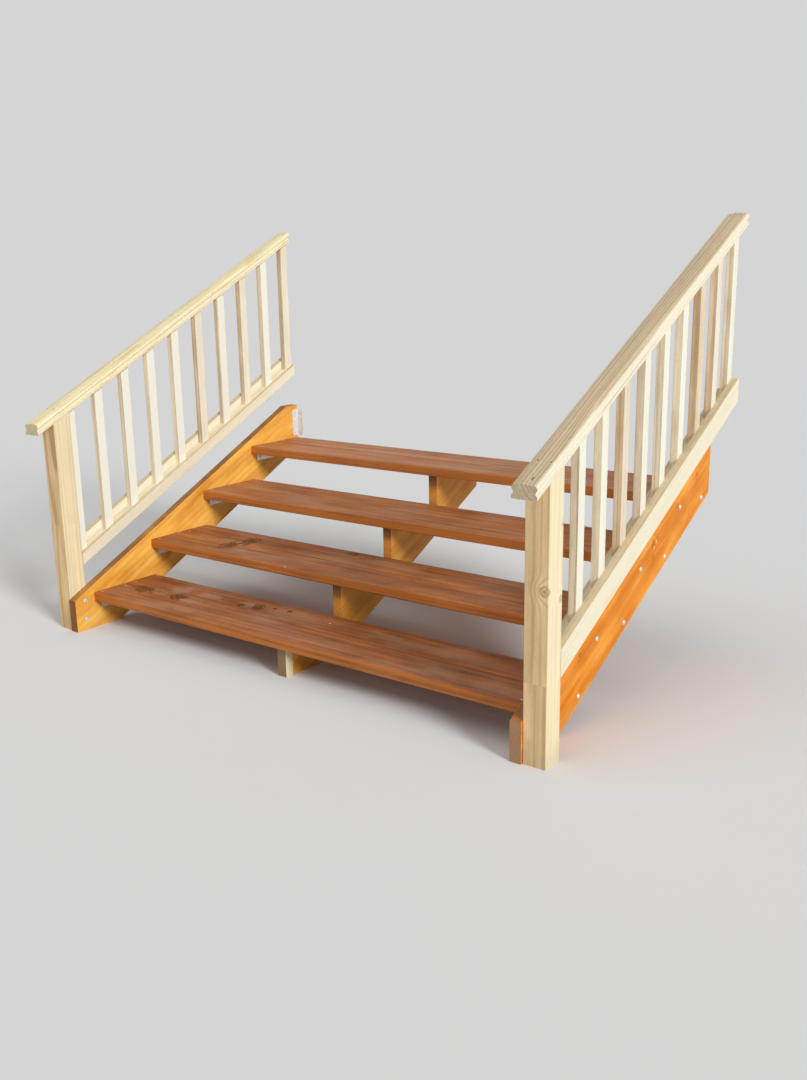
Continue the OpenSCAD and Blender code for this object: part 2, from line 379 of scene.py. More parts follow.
def paint_sunlit_side(bench, colour, sunlit_paint_strength, sunlit_paint_colour):
    """The colour with the side that faces +X painted paler, as sunlight, less where the board is brown.
    """
    # Painted sunlight: the more a face looks towards +X, where the key light comes from, the paler it is
    # painted.
    sunlit_paint_share = bench.fade(bench.facing("X"), 0.35, 0.90, 0.0, sunlit_paint_strength)
    taken = bench.less(1.0, bench.times(bench.attribute("tone"), BROWN_KEEPS))
    return bench.blend(bench.times(sunlit_paint_share, taken), colour, sunlit_paint_colour)


def knotted(bench, colour, log, nearest, knot):
    """The colour with the knots in it."""
    ragged = bench.add(nearest, bench.uneven(bench.cloud(log, 90.0), 0.55))
    branch = bench.fade(ragged, 1.25, 0.70)
    years = bench.fade(bench.sum("SINE", bench.times(ragged, BRANCH_YEARS)), -1, 1, 0.10, 0.60)
    rim = bench.fade(bench.sum("ABSOLUTE", bench.less(ragged, 0.95)), 0.0, BRANCH_RIM, 0.60, 0.0)
    pith = bench.fade(ragged, 0.40, 0.0)
    colour = bench.blend(bench.times(branch, years), colour, knot)
    return bench.blend(bench.sum("MAXIMUM", rim, pith), colour, knot)


def splashed(bench, colour, place, soil):
    """The colour with soil splashed up its foot, with an uneven rim."""
    ragged = bench.times(bench.cloud(place, 26.0, 4.0), -SOIL_RAGGED)
    splash = bench.add(bench.part(place, "Z"), ragged)
    return bench.blend(bench.times(bench.fade(splash, SOIL_ENDS, SOIL_FULL), soil), colour, SOIL_COLOUR)


print(f"soil fades out some {(SOIL_ENDS - foot + SOIL_RAGGED / 2) / MM:.0f} mm above the foot")

# %% [markdown]
# Nail holes, drops and beads of resin are small marks. Modelled, they would cost many faces
# for a few dots. Here a mark is drawn where a spot lies within its radius, with a soft rim,
# and a squeeze of the distance makes a long mark out of a round one.

# %% Small marks
SOFT_RIM = 0.35


def mark(bench, colour, place, spots, tint, soft=SOFT_RIM, squeeze=None):
    """The colour with small marks on it, each given as x, y, z and a radius."""
    if squeeze:
        place = bench.stretch(place, squeeze)
        spots = [(*(c * s for c, s in zip(spot, squeeze)), spot[3]) for spot in spots]
    return bench.blend(bench.fade(nearest_spot(bench, place, spots), 1.0, 1.0 - soft), colour, tint)


print(f"a mark fades over the outer {SOFT_RIM:.0%} of its radius")

# %% [markdown]
# A timber's finish is all of that on one bench. Writing each timber out in full would repeat
# the same twenty lines five times, so one function does it, and each timber only gives its
# own colours and strengths. The tone moves a board from its pale colour to its warm one, and
# its darker patches are also the warmer ones. Sawn ends drink more stain, so they turn dark.

# %% Build a timber finish
MOTTLED = 1.6
ENDS_DARKEN = 0.38
GRAIN_DEPTH = 0.5 * MM
GRAIN_STRENGTH = 0.35


def timber(name, pale, dark, warm, ring_width, late, streaks, patchy=0.3, speckle=0.15, wander=0.030,
           knots=(), knot=None, soil=0.0, sunlit_paint_strength=0.0, sunlit_paint_colour=SUNLIT_PAINT_COLOUR, roughness=(0.50, 0.62),
           shine=0.35):
    """A bench with a timber's colour on it, the colour, and the coordinates it was built from."""
    bench = Bench(name)
    place = bench.place()
    log, latewood, nearest = growth_rings(bench, ring_width, late, wander, knots)
    fibres = bench.cloud(bench.stretch(log, FIBRES), 1.0, 2.0)
    patches = bench.cloud(bench.stretch(log, PATCHES), 1.0, 4.0)
    mottled = bench.add(bench.attribute("tone"), bench.uneven(patches, -MOTTLED))
    colour = bench.blend(mottled, pale, warm)
    colour = bench.blend(bench.times(latewood, bench.attribute("figure")), colour, dark)
    colour = streaked(bench, colour, log, fibres, patches, streaks, patchy, speckle)
    # Painted sunlight on the sides that face the key light.
    if sunlit_paint_strength:
        colour = paint_sunlit_side(bench, colour, sunlit_paint_strength, sunlit_paint_colour)
    if knots:
        colour = knotted(bench, colour, log, nearest, knot)
    ends = bench.fade(bench.attribute("endgrain"), 0.35, 0.80, 0.0, ENDS_DARKEN)
    colour = bench.blend(ends, colour, dark)
    if soil:
        colour = splashed(bench, colour, place, soil)
    bench.paint(colour)
    bench.feed(bench.surface.inputs["Roughness"], bench.fade(fibres, 0.25, 0.75, *roughness))
    bench.surface.inputs["Specular IOR Level"].default_value = shine
    height = bench.add(bench.times(latewood, 0.5), fibres)
    bump = bench.node("Bump", {"Height": height, "Strength": GRAIN_STRENGTH, "Distance": GRAIN_DEPTH})
    bench.feed(bench.surface.inputs["Normal"], bump)
    print(f"{name}: rings of {ring_width / MM:.0f} mm, {len(knots)} knots, {len(bench.tree.nodes)} nodes")
    return bench, colour, place


print(f"sawn ends are darkened by {ENDS_DARKEN:.0%}")

# %% [markdown]
# ## The stair's timbers
# The photograph shows three kinds of finish: bare pine for the posts, rails and balusters, an
# amber stain on the stringers and the carriage, and a red-brown oil on the treads. Colours
# are written as linear light, which is how a shader reads them.
#
# The posts are the yellowest of the pine, with wide rings and soil at their feet, and their
# sides that face the key light are painted paler, as sunlight. The right one has a large knot
# on its front and two on its side. The short stake under the middle is of the same pine, but
# its front is painted a dark brown, as the shade under the tread. A second material could do
# that, but the stake is the only piece of this pine near the middle of the flight, so a mask
# of place and facing is enough.

# %% Bare pine for the posts
newel_knots = [
    (1.279, low("newel_right").y, 0.004, 17 * MM),
    (1.295, -1.457, -0.036, 11 * MM),
    (1.295, -1.452, 0.210, 7 * MM),
]
newel_pine, bare_post, place = timber(
    "newel_pine", pale=(0.82, 0.615, 0.345), dark=(0.47, 0.285, 0.125), warm=(0.765, 0.50, 0.23),
    ring_width=16 * MM, late=0.55, streaks=0.28, patchy=0.35, knots=newel_knots,
    knot=(0.42, 0.215, 0.095), soil=0.22, sunlit_paint_strength=0.80, sunlit_paint_colour=(0.84, 0.80, 0.56))
from_middle = newel_pine.sum("ABSOLUTE", newel_pine.part(place, "X"))
on_the_stake = newel_pine.fade(from_middle, 0.6, 0.5)
front = newel_pine.fade(newel_pine.facing("Y"), -0.5, -0.9, 0.0, 0.85)
# Painted shade: the stake's front, which stands under the tread, is painted a dark brown.
stake_front_shade = newel_pine.times(front, on_the_stake)
newel_pine.paint(newel_pine.blend(stake_front_shade, bare_post, (0.20, 0.105, 0.045)))

# %% [markdown]
# The rails are a finer pine. Their sides that face the key light are painted paler, as
# sunlight, and the flat tops of the paler ones are painted darker and browner, as shade.
# Amber heart shows in streaks where the tone is warm. The handrails were nailed down through
# the top, near both ends, and the right one is split at its foot. Cutting such small holes
# would cost many faces for a few dark dots, so they are marks of painted shade, and their
# height follows from the slope.

# %% Bare pine for the rails
SIDES = (("left", -1), ("right", 1))
NAIL_RADIUS = 4 * MM
NAILED_AT = ((1.233, -1.507), (1.280, -1.507), (1.226, 0.020), (1.268, 0.028))


def on_rail_top(side, x, y, radius):
    """A mark on top of a handrail, where the rail's slope sets the height."""
    top = high(f"handrail_{side}")
    return (x, y, top.z - (top.y - y) * math.tan(pitch) - MM, radius)


rail_pine, bare_rail, place = timber(
    "rail_pine", pale=(0.78, 0.665, 0.475), dark=(0.26, 0.165, 0.085), warm=(0.87, 0.755, 0.45),
    ring_width=11 * MM, late=0.32, streaks=0.30, sunlit_paint_strength=0.85, speckle=0.30)
warmth = rail_pine.attribute("tone")
# Painted shade: the flat tops of the paler rails are made darker and browner than their sides.
flat_top = rail_pine.fade(rail_pine.facing("Z"), 0.855, 0.893, 0.0, 0.65)
painted_top_shade = rail_pine.times(flat_top, rail_pine.less(1.0, warmth))
bare_rail = rail_pine.blend(painted_top_shade, bare_rail, (0.70, 0.585, 0.45), "MULTIPLY")
drawn_out = rail_pine.stretch(rail_pine.attribute("grain", "Vector"), (5, 32, 32))
amber = rail_pine.fade(rail_pine.cloud(drawn_out, 1.0, 4.0), 0.50, 0.72, 0.0, 0.50)
bare_rail = rail_pine.blend(rail_pine.times(amber, warmth), bare_rail, (0.66, 0.40, 0.125))
# Painted shade: dark dots where the nail holes are, and a long dark mark where the rail is split.
nail_hole_shade = [on_rail_top(side, sign * x, y, NAIL_RADIUS) for side, sign in SIDES for x, y in NAILED_AT]
bare_rail = mark(rail_pine, bare_rail, place, nail_hole_shade, (0.055, 0.035, 0.022))
split_shade = [on_rail_top("right", 1.263, -1.590, 13 * MM)]
bare_rail = mark(rail_pine, bare_rail, place, split_shade, (0.10, 0.055, 0.030), soft=0.7, squeeze=(3.2, 1, 1))
rail_pine.paint(bare_rail)
print("nail holes:", len(nail_hole_shade))

# %% [markdown]
# The balusters are the palest wood of the stair, and their sides that face the key light are
# painted nearly white, as sunlight. They are sawn from small pieces, so their rings hardly
# wander. A few are much browner than the rest. They could have a second material, but the
# tone that each one gets when it is cut does it with one.

# %% Bare pine for the balusters
baluster_pine, _, _ = timber(
    "baluster_pine", pale=(0.90, 0.77, 0.55), dark=(0.44, 0.28, 0.145), warm=(0.66, 0.45, 0.25),
    ring_width=12 * MM, late=0.5, streaks=0.32, patchy=0.4, wander=0.016, sunlit_paint_strength=0.85,
    sunlit_paint_colour=(0.82, 0.82, 0.71))

# %% [markdown]
# The stringers and the carriage are stained amber, over strong rings and a few knots.
# Below the largest knot the stain has run, and beads of pale resin sit beside it. A cloud
# would put such runs anywhere, so these are marks, squeezed because they ran downward.

# %% Amber stain for the stringers and the carriage
outer_face, inner_face = high("stringer_right").x, high("stringer_left").x
left_outer_face = low("stringer_left").x
RAN_DOWN = (1, 1, 0.5)

stringer_knots = [
    (outer_face, -1.139, -0.343, 9 * MM),
    (outer_face, -0.551, -0.064, 15 * MM),
    (outer_face, -0.475, 0.014, 8 * MM),
    (outer_face, -0.330, 0.043, 7 * MM),
    (outer_face, -0.138, 0.147, 8 * MM),
    (-inner_face, -0.780, -0.130, 14 * MM),
    (left_outer_face, -0.620, -0.110, 15 * MM),
    (left_outer_face, -1.050, -0.330, 10 * MM),
]
stringer_timber, stained, place = timber(
    "stringer_timber", pale=(0.86, 0.47, 0.085), dark=(0.48, 0.12, 0.008), warm=(0.77, 0.235, 0.003),
    ring_width=12 * MM, late=0.85, streaks=0.28, patchy=0.55, knots=stringer_knots,
    knot=(0.30, 0.070, 0.010), roughness=(0.44, 0.58), soil=0.15, shine=0.25)
stain_runs = [(outer_face, -0.546, -0.120, 13 * MM), (outer_face, -0.549, -0.152, 11 * MM)]
resin = [(outer_face, -0.520, -0.060, 5.5 * MM), (outer_face, -0.541, -0.080, 4.5 * MM)]
stained = mark(stringer_timber, stained, place, stain_runs, (0.58, 0.150, 0.006), 0.9, RAN_DOWN)
stained = mark(stringer_timber, stained, place, resin, (0.90, 0.60, 0.27), 0.6, RAN_DOWN)
print("stain runs:", len(stain_runs), "beads of resin:", len(resin))

# %% [markdown]
# The stringers' upper edges have gone brown in the rain. Their front cuts are painted too:
# the warmer the board, the more its cut has weathered to a pale, rough brown, and the cooler
# the board, the more its cut is a dark brown, partly stain drunk by the end grain and partly
# painted shade. Both could be painted face by face, but a mask of facing finds them on any board.

# %% Weather the upper edges, and paint the front cuts weathered and shaded
upper_edge = stringer_timber.fade(stringer_timber.facing("Z"), 0.72, 0.86, 0.0, 0.90)
rain = stringer_timber.fade(stringer_timber.cloud(place, 9.0, 4.0), 0.35, 0.65, 0.65, 1.0)
stained = stringer_timber.blend(stringer_timber.times(upper_edge, rain), stained, (0.26, 0.105, 0.035))
front_cut = stringer_timber.fade(stringer_timber.facing("Y"), -0.90, -0.99, 0.0, 0.85)
# Front cuts: pale weathered brown on warm boards, and on cool boards a dark brown that is partly painted
# shade.
dried = stringer_timber.fade(stringer_timber.attribute("tone"), 0.2, 1.0)
cut_weathering_and_shade = stringer_timber.blend(dried, (0.175, 0.056, 0.011), (0.425, 0.272, 0.157))
rough_sawn = stringer_timber.fade(stringer_timber.cloud(place, 210.0, 4.0), 0.40, 0.62, 0.0, 0.50)
cut_weathering_and_shade = stringer_timber.blend(rough_sawn, cut_weathering_and_shade, (0.17, 0.085, 0.040))
stringer_timber.paint(stringer_timber.blend(front_cut, stained, cut_weathering_and_shade))
print("stringer_timber with its weathering:", len(stringer_timber.tree.nodes), "nodes")

# %% [markdown]
# The treads are oiled a red brown. Their tops are worn and dusty, and their sheltered front
# edges keep the orange of the oil in long bands. Painting wear by hand would fit only one
# tread. Masks fit them all: how far a face looks upward, how far it looks forward, and clouds
# that are drawn out along the boards.

# %% Red-brown oil for the treads
tread_timber, oiled, on_stair = timber(
    "tread_timber", pale=(0.53, 0.195, 0.060), dark=(0.155, 0.046, 0.015), warm=(0.35, 0.108, 0.030),
    ring_width=9 * MM, late=0.75, streaks=0.42, patchy=0.7, wander=0.024, roughness=(0.46, 0.62),
    speckle=0.65, shine=0.30)
WEAR = 0.42

looks_up = tread_timber.fade(tread_timber.facing("Z"), 0.5, 0.95)
along_the_boards = tread_timber.stretch(on_stair, (3.2, 9, 9))
worn = tread_timber.fade(tread_timber.cloud(along_the_boards, 1.0, 5.0), 0.42, 0.72)
dust = tread_timber.fade(tread_timber.cloud(on_stair, 160.0, 3.0), 0.58, 0.72, 0.0, 0.35)
worn = tread_timber.add(tread_timber.times(worn, WEAR), tread_timber.times(dust, worn))
oiled = tread_timber.blend(tread_timber.times(worn, looks_up), oiled, (0.48, 0.28, 0.165))
looks_forward = tread_timber.fade(tread_timber.facing("Y"), -0.5, -0.95)
band = tread_timber.cloud(tread_timber.stretch(on_stair, (0.9, 30, 85)), 1.0, 1.0)
orange = tread_timber.times(looks_forward, tread_timber.fade(band, 0.38, 0.55, 0.15, 0.80))
oiled = tread_timber.blend(orange, oiled, (0.58, 0.180, 0.020))
print("wear covers up to", WEAR, "of the oil, and dust a little more")

# %% [markdown]
# Mud was walked onto the two lowest treads in nine places, pale dust has dried in five more,
# and a few drops have dried on the boards. A cloud alone would spread such marks evenly, so
# their places are listed, as ovals on top of a tread. The muddy ones are used twice, because
# crumbs are scattered over them later.

# %% Where mud, dust and drops lie
def on_tread(k, ovals):
    """Ovals on top of a tread, given as x, y and how far they reach across and uphill."""
    top = high(f"tread_{k}_front").z
    return [(x, y, top, reach_x, reach_y) for x, y, reach_x, reach_y in ovals]


mud = on_tread(1, [
    (-0.775, -1.268, 0.072, 0.048),
    (-1.000, -1.270, 0.085, 0.055),
    (-0.445, -1.191, 0.028, 0.022),
    (-0.358, -1.172, 0.045, 0.036),
    (-0.280, -1.149, 0.018, 0.014),
    (-0.201, -1.138, 0.020, 0.016),
]) + on_tread(2, [
    (-0.720, -0.845, 0.055, 0.085),
    (-0.755, -0.945, 0.055, 0.075),
    (-0.154, -0.750, 0.045, 0.028),
])
dust_patches = on_tread(1, [
    (-0.835, -1.185, 0.080, 0.065),
    (-0.684, -1.281, 0.065, 0.038),
    (-0.665, -1.170, 0.085, 0.032),
    (-0.410, -1.170, 0.085, 0.038),
]) + on_tread(2, [
    (-0.640, -0.990, 0.060, 0.030),
])
drops = [
    (-0.275, low("tread_2_front").y + 2 * MM, high("tread_2_front").z - 2 * MM, 3.5 * MM),
    (-0.765, -0.270, high("tread_4_front").z, 4.5 * MM),
    (0.050, -1.163, high("tread_1_back").z, 7 * MM),
    (-0.769, -0.515, high("tread_3_back").z, 5 * MM),
]
print("muddy places:", len(mud), "dusty places:", len(dust_patches), "drops:", len(drops))

# %% [markdown]
# A clean oval would look stamped on. So each patch is a distance from its middle, counted in
# its own reach, and a cloud is added to that distance before it is cut off. The rim breaks up
# and no two patches look alike. Drops keep their round rims, as they do on real boards.

# %% Lay the mud, dust and drops
RIM_BROKEN = 2.6
STAYS_ON_TOP = 20


def ragged_patch(bench, place, spots):
    """How near the nearest oval patch is, with its rim broken up."""
    nearest = FAR_OFF
    for x, y, z, reach_x, reach_y in spots:
        shape = (1 / reach_x, 1 / reach_y, STAYS_ON_TOP)
        centre = tuple(c * s for c, s in zip((x, y, z), shape))
        nearest = bench.sum("MINIMUM", nearest, bench.distance(bench.stretch(place, shape), centre))
    return bench.add(nearest, bench.uneven(bench.cloud(place, 34.0, 5.0), RIM_BROKEN))


dusty = tread_timber.fade(ragged_patch(tread_timber, on_stair, dust_patches), 1.10, 0.35, 0.0, 0.50)
oiled = tread_timber.blend(dusty, oiled, (0.50, 0.31, 0.205))
muddy = tread_timber.fade(ragged_patch(tread_timber, on_stair, mud), 1.00, 0.50, 0.0, 0.80)
oiled = tread_timber.blend(muddy, oiled, (0.155, 0.047, 0.007))
tread_timber.paint(mark(tread_timber, oiled, on_stair, drops, (0.70, 0.66, 0.60)))
print("tread_timber with its wear and dirt:", len(tread_timber.tree.nodes), "nodes")

# %% [markdown]
# ## From a packed solid to a board
# The packed solids already have the right outline, but their faces are split for the tools
# that made them, and their sawn edges are razor sharp. Modelling each board again would risk
# drifting from the real sizes. So each board is copied, its flat faces are joined up, and its
# long sharp edges get the small round that sandpaper leaves. The rims of bolt holes stay
# sharp, as a drill leaves them.

# %% Join up the faces and sand the edges
SAME_POINT = 0.02 * MM
NEARLY_FLAT = math.radians(0.7)
SANDED = 0.9 * MM
BIG_FACE = 200 * MM * MM
SHARP = math.radians(40)


def join_faces(shape):
    bmesh.ops.remove_doubles(shape, verts=shape.verts, dist=SAME_POINT)
    bmesh.ops.dissolve_limit(shape, angle_limit=NEARLY_FLAT, verts=shape.verts, edges=shape.edges)


def sand_edges(shape):
    def is_sharp(edge):
        faces = edge.link_faces
        return (len(faces) == 2 and edge.is_convex and edge.calc_face_angle(0) > SHARP
                and min(face.calc_area() for face in faces) > BIG_FACE)
    bmesh.ops.bevel(shape, geom=[e for e in shape.edges if is_sharp(e)], offset=SANDED,
                    segments=2, profile=0.5, affect="EDGES", clamp_overlap=True)


print(f"edges are sanded to {SANDED / MM:.1f} mm")

# %% [markdown]
# Next the log coordinates are written onto the board's corners, with three numbers that the
# finishes read: whether the face is a sawn end, how warm the board's tone is, and how strong
# its figure is. A post that is glued from two lengths gets a log for each, so its grain jumps
# at the joint. Objects could carry these numbers too, but only corners can hold two logs.

# %% Write the log onto the corners
LOG_LENGTH = 40
HEART_STRAYS = 12 * MM
TONE_STRAYS = 0.06


def write_logs(shape, along, width, thickness, heart, joints, tone, figure, luck):
    """Log coordinates, sawn ends, tone and figure, for each length between glued joints."""
    grain = shape.loops.layers.float_vector.new("grain")
    endgrain = shape.loops.layers.float.new("endgrain")
    toned = shape.loops.layers.float.new("tone")
    figured = shape.loops.layers.float.new("figure")
    lengths = []
    for _ in range(len(joints) + 1):
        offset = luck.uniform(0, LOG_LENGTH)
        heart_w, heart_t = (h + luck.uniform(-HEART_STRAYS, HEART_STRAYS) for h in heart)
        own_tone = tone
        if joints:
            own_tone = min(1, max(0, tone + luck.uniform(-TONE_STRAYS, TONE_STRAYS)))
        lengths.append((offset, heart_w, heart_t, own_tone))
    for face in shape.faces:
        middle = face.calc_center_median().dot(along)
        offset, heart_w, heart_t, own_tone = lengths[sum(middle > joint for joint in joints)]
        sawn = abs(face.normal.dot(along))
        for corner in face.loops:
            point = corner.vert.co
            corner[grain] = (point.dot(along) + offset, point.dot(width) - heart_w,
                             point.dot(thickness) - heart_t)
            corner[endgrain] = sawn
            corner[toned] = own_tone
            corner[figured] = figure


print(f"a heart strays up to {HEART_STRAYS / MM:.0f} mm from its usual place")

# %% [markdown]
# The last step makes the copy a piece that stands in for its node. Smooth shading alone would
# make the flat faces look pillowed, so sharp edges stay sharp, and a Weighted Normal modifier
# lets the large faces set the shading of the sanded rounds between them.

# %% Cut a board in place of a node
def make_object(name, shape, bench, smooth_to):
    """An object from a finished shape, shaded smooth across edges up to an angle."""
    mesh = bpy.data.meshes.new(name)
    shape.to_mesh(mesh)
    shape.free()
    for face in mesh.polygons:
        face.use_smooth = True
    mesh.set_sharp_from_angle(angle=smooth_to)
    mesh.materials.append(bench.material)
    made = bpy.data.objects.new(name, mesh)
    bpy.context.scene.collection.objects.link(made)
    return made


def cut_board(node, bench, along, width, heart, tone, figure, joints=()):
    """A board in place of a node, with its grain running along and its heart off to one side."""
    luck = random.Random(node)
    shape = bmesh.new()
    shape.from_mesh(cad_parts[node].data)
    join_faces(shape)
    sand_edges(shape)
    for joint in joints:
        bmesh.ops.bisect_plane(shape, geom=shape.verts[:] + shape.edges[:] + shape.faces[:],
                               plane_co=along * joint, plane_no=along)
    thickness = along.cross(width)
    middle = (low(node) + high(node)) / 2
    heart_at = (middle.dot(width) + heart[0], middle.dot(thickness) + heart[1])
    write_logs(shape, along, width, thickness, heart_at, joints, tone, figure, luck)
    board = make_object(node + "_board", shape, bench, SHARP)
    even = board.modifiers.new("even shading", "WEIGHTED_NORMAL")
    even.keep_sharp = True
    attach(board, "root")
    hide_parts(node)


print(f"edges sharper than {math.degrees(SHARP):.0f} degrees are shaded as edges")

# %% [markdown]
# ## Cutting the timbers
# Where the heart of the log lies decides the figure. A heart behind the broad face gives
# arched, flame-like grain, and a heart off the edge gives straight lines. The tree that each
# board comes from is a seeded guess, so the stair has natural variety but never changes. The
# lowest tread is the warmest and darkest, and each tread above it is a step paler.

# %% Treads, stringers and carriage
ACROSS, UPHILL, UPRIGHT = Vector((1, 0, 0)), Vector((0, 1, 0)), Vector((0, 0, 1))
up_the_pitch = Vector((0, math.cos(pitch), math.sin(pitch)))
square_to_pitch = Vector((0, -math.sin(pitch), math.cos(pitch)))
TREADS = range(1, 5)
BOARDS = ("front", "back")
DARKEST_TREAD, PALER_BY = 1.05, 0.27
TREAD_HEART_SPREADS, TREAD_HEART_BELOW = 0.07, 0.075
STRINGERS = (("left", -1, 0.20, 0.20), ("right", 1, 0.90, 0.40))

for k in TREADS:
    for row in BOARDS:
        node = f"tread_{k}_{row}"
        aside = random.Random(node).uniform(-TREAD_HEART_SPREADS, TREAD_HEART_SPREADS)
        cut_board(node, tread_timber, ACROSS, UPHILL,
                  heart=(aside, -TREAD_HEART_BELOW), tone=DARKEST_TREAD - PALER_BY * k, figure=0.8)
for side, sign, tone, figure in STRINGERS:
    cut_board(f"stringer_{side}", stringer_timber, up_the_pitch, square_to_pitch,
              heart=(0.02, 0.10 * sign), tone=tone, figure=figure)
cut_board("carriage_centre", stringer_timber, up_the_pitch, square_to_pitch,
          heart=(-0.03, 0.09), tone=0.40, figure=0.3)
print("tread boards:", len(TREADS) * len(BOARDS), "stringers:", len(STRINGERS))

# %% [markdown]
# The grain of a post runs upright, and the grain of a rail runs up the pitch. Each post is
# glued from two lengths. A groove could mark the joint, but the real one is flush, so only
# the grain jumps there, at a height read from the photograph. The two handrails differ: the
# left one is a warm yellow, and the right one is greyer with more figure.

# %% Posts and rails
GLUED = {"left": foot + 0.497, "right": foot + 0.292}
NEWEL_TONE = {"left": 0.65, "right": 0.40}
NEWEL_FIGURE = {"left": 0.85, "right": 0.62}
HANDRAIL_TONE = {"left": 1.0, "right": 0.0}
HANDRAIL_FIGURE = {"left": 0.35, "right": 0.60}

cut_board("carriage_stake", newel_pine, UPRIGHT, ACROSS, heart=(0.0, 0.05),
          tone=0.3, figure=0.5)
for side, sign in SIDES:
    cut_board(f"newel_{side}", newel_pine, UPRIGHT, ACROSS, heart=(-0.035 * sign, 0.085),
              tone=NEWEL_TONE[side], figure=NEWEL_FIGURE[side], joints=(GLUED[side],))
    cut_board(f"handrail_{side}", rail_pine, up_the_pitch, ACROSS, heart=(0.085, -0.05),
              tone=HANDRAIL_TONE[side], figure=HANDRAIL_FIGURE[side])
    cut_board(f"bottom_rail_{side}", rail_pine, up_the_pitch, ACROSS, heart=(0.03, 0.09),
              tone=0.35, figure=0.22)
print("posts and rails:", 3 * len(SIDES), "and a stake")

# %% [markdown]
# Twenty balusters from one finish would look copied if they shared a log. Each gets its own
# heart, figure and tone from a seed made of its name, and the six that are browner in the
# photograph are given their tone outright. The left ones are a little paler on the whole.

# %% Balusters
BALUSTERS = range(1, 11)
PALEST_BALUSTER = {"left": -0.35, "right": -0.10}
TONES_DIFFER = 0.35
BROWNER = {"baluster_left_6": 0.50, "baluster_left_8": 0.55, "baluster_left_10": 0.60,
           "baluster_right_4": 0.85, "baluster_right_8": 1.0, "baluster_right_9": 0.55}

for side, _ in SIDES:
    for i in BALUSTERS:
        node = f"baluster_{side}_{i}"
        luck = random.Random(node + " turn")
        tone = luck.uniform(0.0, TONES_DIFFER) + PALEST_BALUSTER[side]
        cut_board(node, baluster_pine, UPRIGHT, ACROSS,
                  heart=(luck.uniform(-0.05, 0.05), -0.06), tone=BROWNER.get(node, tone),
                  figure=luck.uniform(0.35, 0.80))
print("balusters:", len(SIDES) * len(BALUSTERS), "of them browner:", len(BROWNER))

# %% [markdown]
# ## Galvanised steel
# The angles under the treads were dipped in molten zinc, which freezes in flat crystals of
# slightly different greys. A plain noise would look like dirt. A Voronoi pattern gives each
# crystal its own shade and its own polish, at the few millimetres that real spangle measures.
# The angles keep their packed shape, and only their material is changed.

# %% Zinc spangle
DULLEST = 0.66
POLISH_VARIES = 0.18
METAL_SHARE = 0.45


def zinc(name, colour, spangle, polish):
    """A bench with zinc on it, in crystals as large as the spangle."""
    bench = Bench(name)
    place = bench.place()
    crystal = bench.node("TexVoronoi", {"Vector": place, "Scale": 1 / spangle}, output="Color")
    each = bench.part(crystal, "X")
    dulled = bench.cloud(place, 30.0, 3.0)
    dullest = tuple(DULLEST * c for c in colour)
    bench.paint(bench.blend(bench.times(bench.add(each, dulled), 0.5), dullest, colour))
    bench.feed(bench.surface.inputs["Roughness"], bench.fade(each, 0, 1, polish, polish + POLISH_VARIES))
    bench.surface.inputs["Metallic"].default_value = METAL_SHARE
    return bench


galvanised_steel = zinc("galvanised_steel", (0.94, 0.96, 0.965), spangle=6 * MM, polish=0.42)
bolt_steel = zinc("bolt_steel", (0.82, 0.83, 0.82), spangle=3 * MM, polish=0.34)
angles = [f"{kind}_{side}" for kind in ("tread_brackets", "deck_bracket") for side, _ in SIDES]
for node in angles:
    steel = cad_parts[node]
    steel.data.materials.clear()
    steel.data.materials.append(galvanised_steel.material)
print("angles in zinc:", ", ".join(angles))

# %% [markdown]
# ## Crumbs of mud
# The scuffs aren't only a stain: dry crumbs of mud still lie on the boards. Small spheres
# would look like beads. Each crumb is a hull round a few random points, squashed a little,
# which gives the dull corners of broken earth. The crumbs gather near the middle of a scuff
# and sit slightly in the grain, and together they are one piece.

# %% Scatter crumbs over the scuffs
CRUMBS_PER_METRE = 560
CRUMB_POINTS = 9
CRUMB_SIZES = (1.2, 4.6)
SCATTER = 0.75
GATHERED = 0.7
CRUMB_SMOOTH = math.radians(20)


def crumb(shape, centre, size, luck):
    points = [shape.verts.new(centre + Vector((luck.uniform(-1, 1), luck.uniform(-1, 1),
                                               luck.uniform(-0.2, 0.7))) * size)
              for _ in range(CRUMB_POINTS)]
    hull = bmesh.ops.convex_hull(shape, input=points)
    bmesh.ops.delete(shape, geom=[g for g in hull["geom_interior"] if g.is_valid], context="VERTS")


def add_piece(name, shape, bench, smooth_to):
    """A piece of its own, beside the packed nodes."""
    made = make_object(name, shape, bench, smooth_to)
    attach(made, "root")
    print(name, len(made.data.polygons), "faces")


earth = Bench("dry_mud")
earth.paint(earth.blend(earth.cloud(earth.place(), 400.0), (0.080, 0.026, 0.007), (0.24, 0.098, 0.032)))
earth.surface.inputs["Roughness"].default_value = 0.95
earth.surface.inputs["Specular IOR Level"].default_value = 0.15
crumbs = bmesh.new()
luck = random.Random("mud")
for x, y, z, reach_x, reach_y in mud:
    mean_reach = math.sqrt(reach_x * reach_y)
    for _ in range(round(CRUMBS_PER_METRE * mean_reach)):
        away = SCATTER * luck.random() ** GATHERED
        turn = luck.uniform(0, math.tau)
        spot = Vector((x + reach_x * away * math.cos(turn), y + reach_y * away * math.sin(turn), z))
        crumb(crumbs, spot, luck.uniform(*CRUMB_SIZES) * MM, luck)
add_piece("mud_crumbs", crumbs, earth, CRUMB_SMOOTH)

# %% [markdown]
# ## Bolts, washers and screws
# Turned parts are an outline swept round an axis. Stacked cylinders would need a join at each
# step and would leave faces inside, so one function makes them all: it takes a list of radii
# and heights, and the number of sides. Twenty-four sides give a round bolt head, and six give
# a hexagon nut.

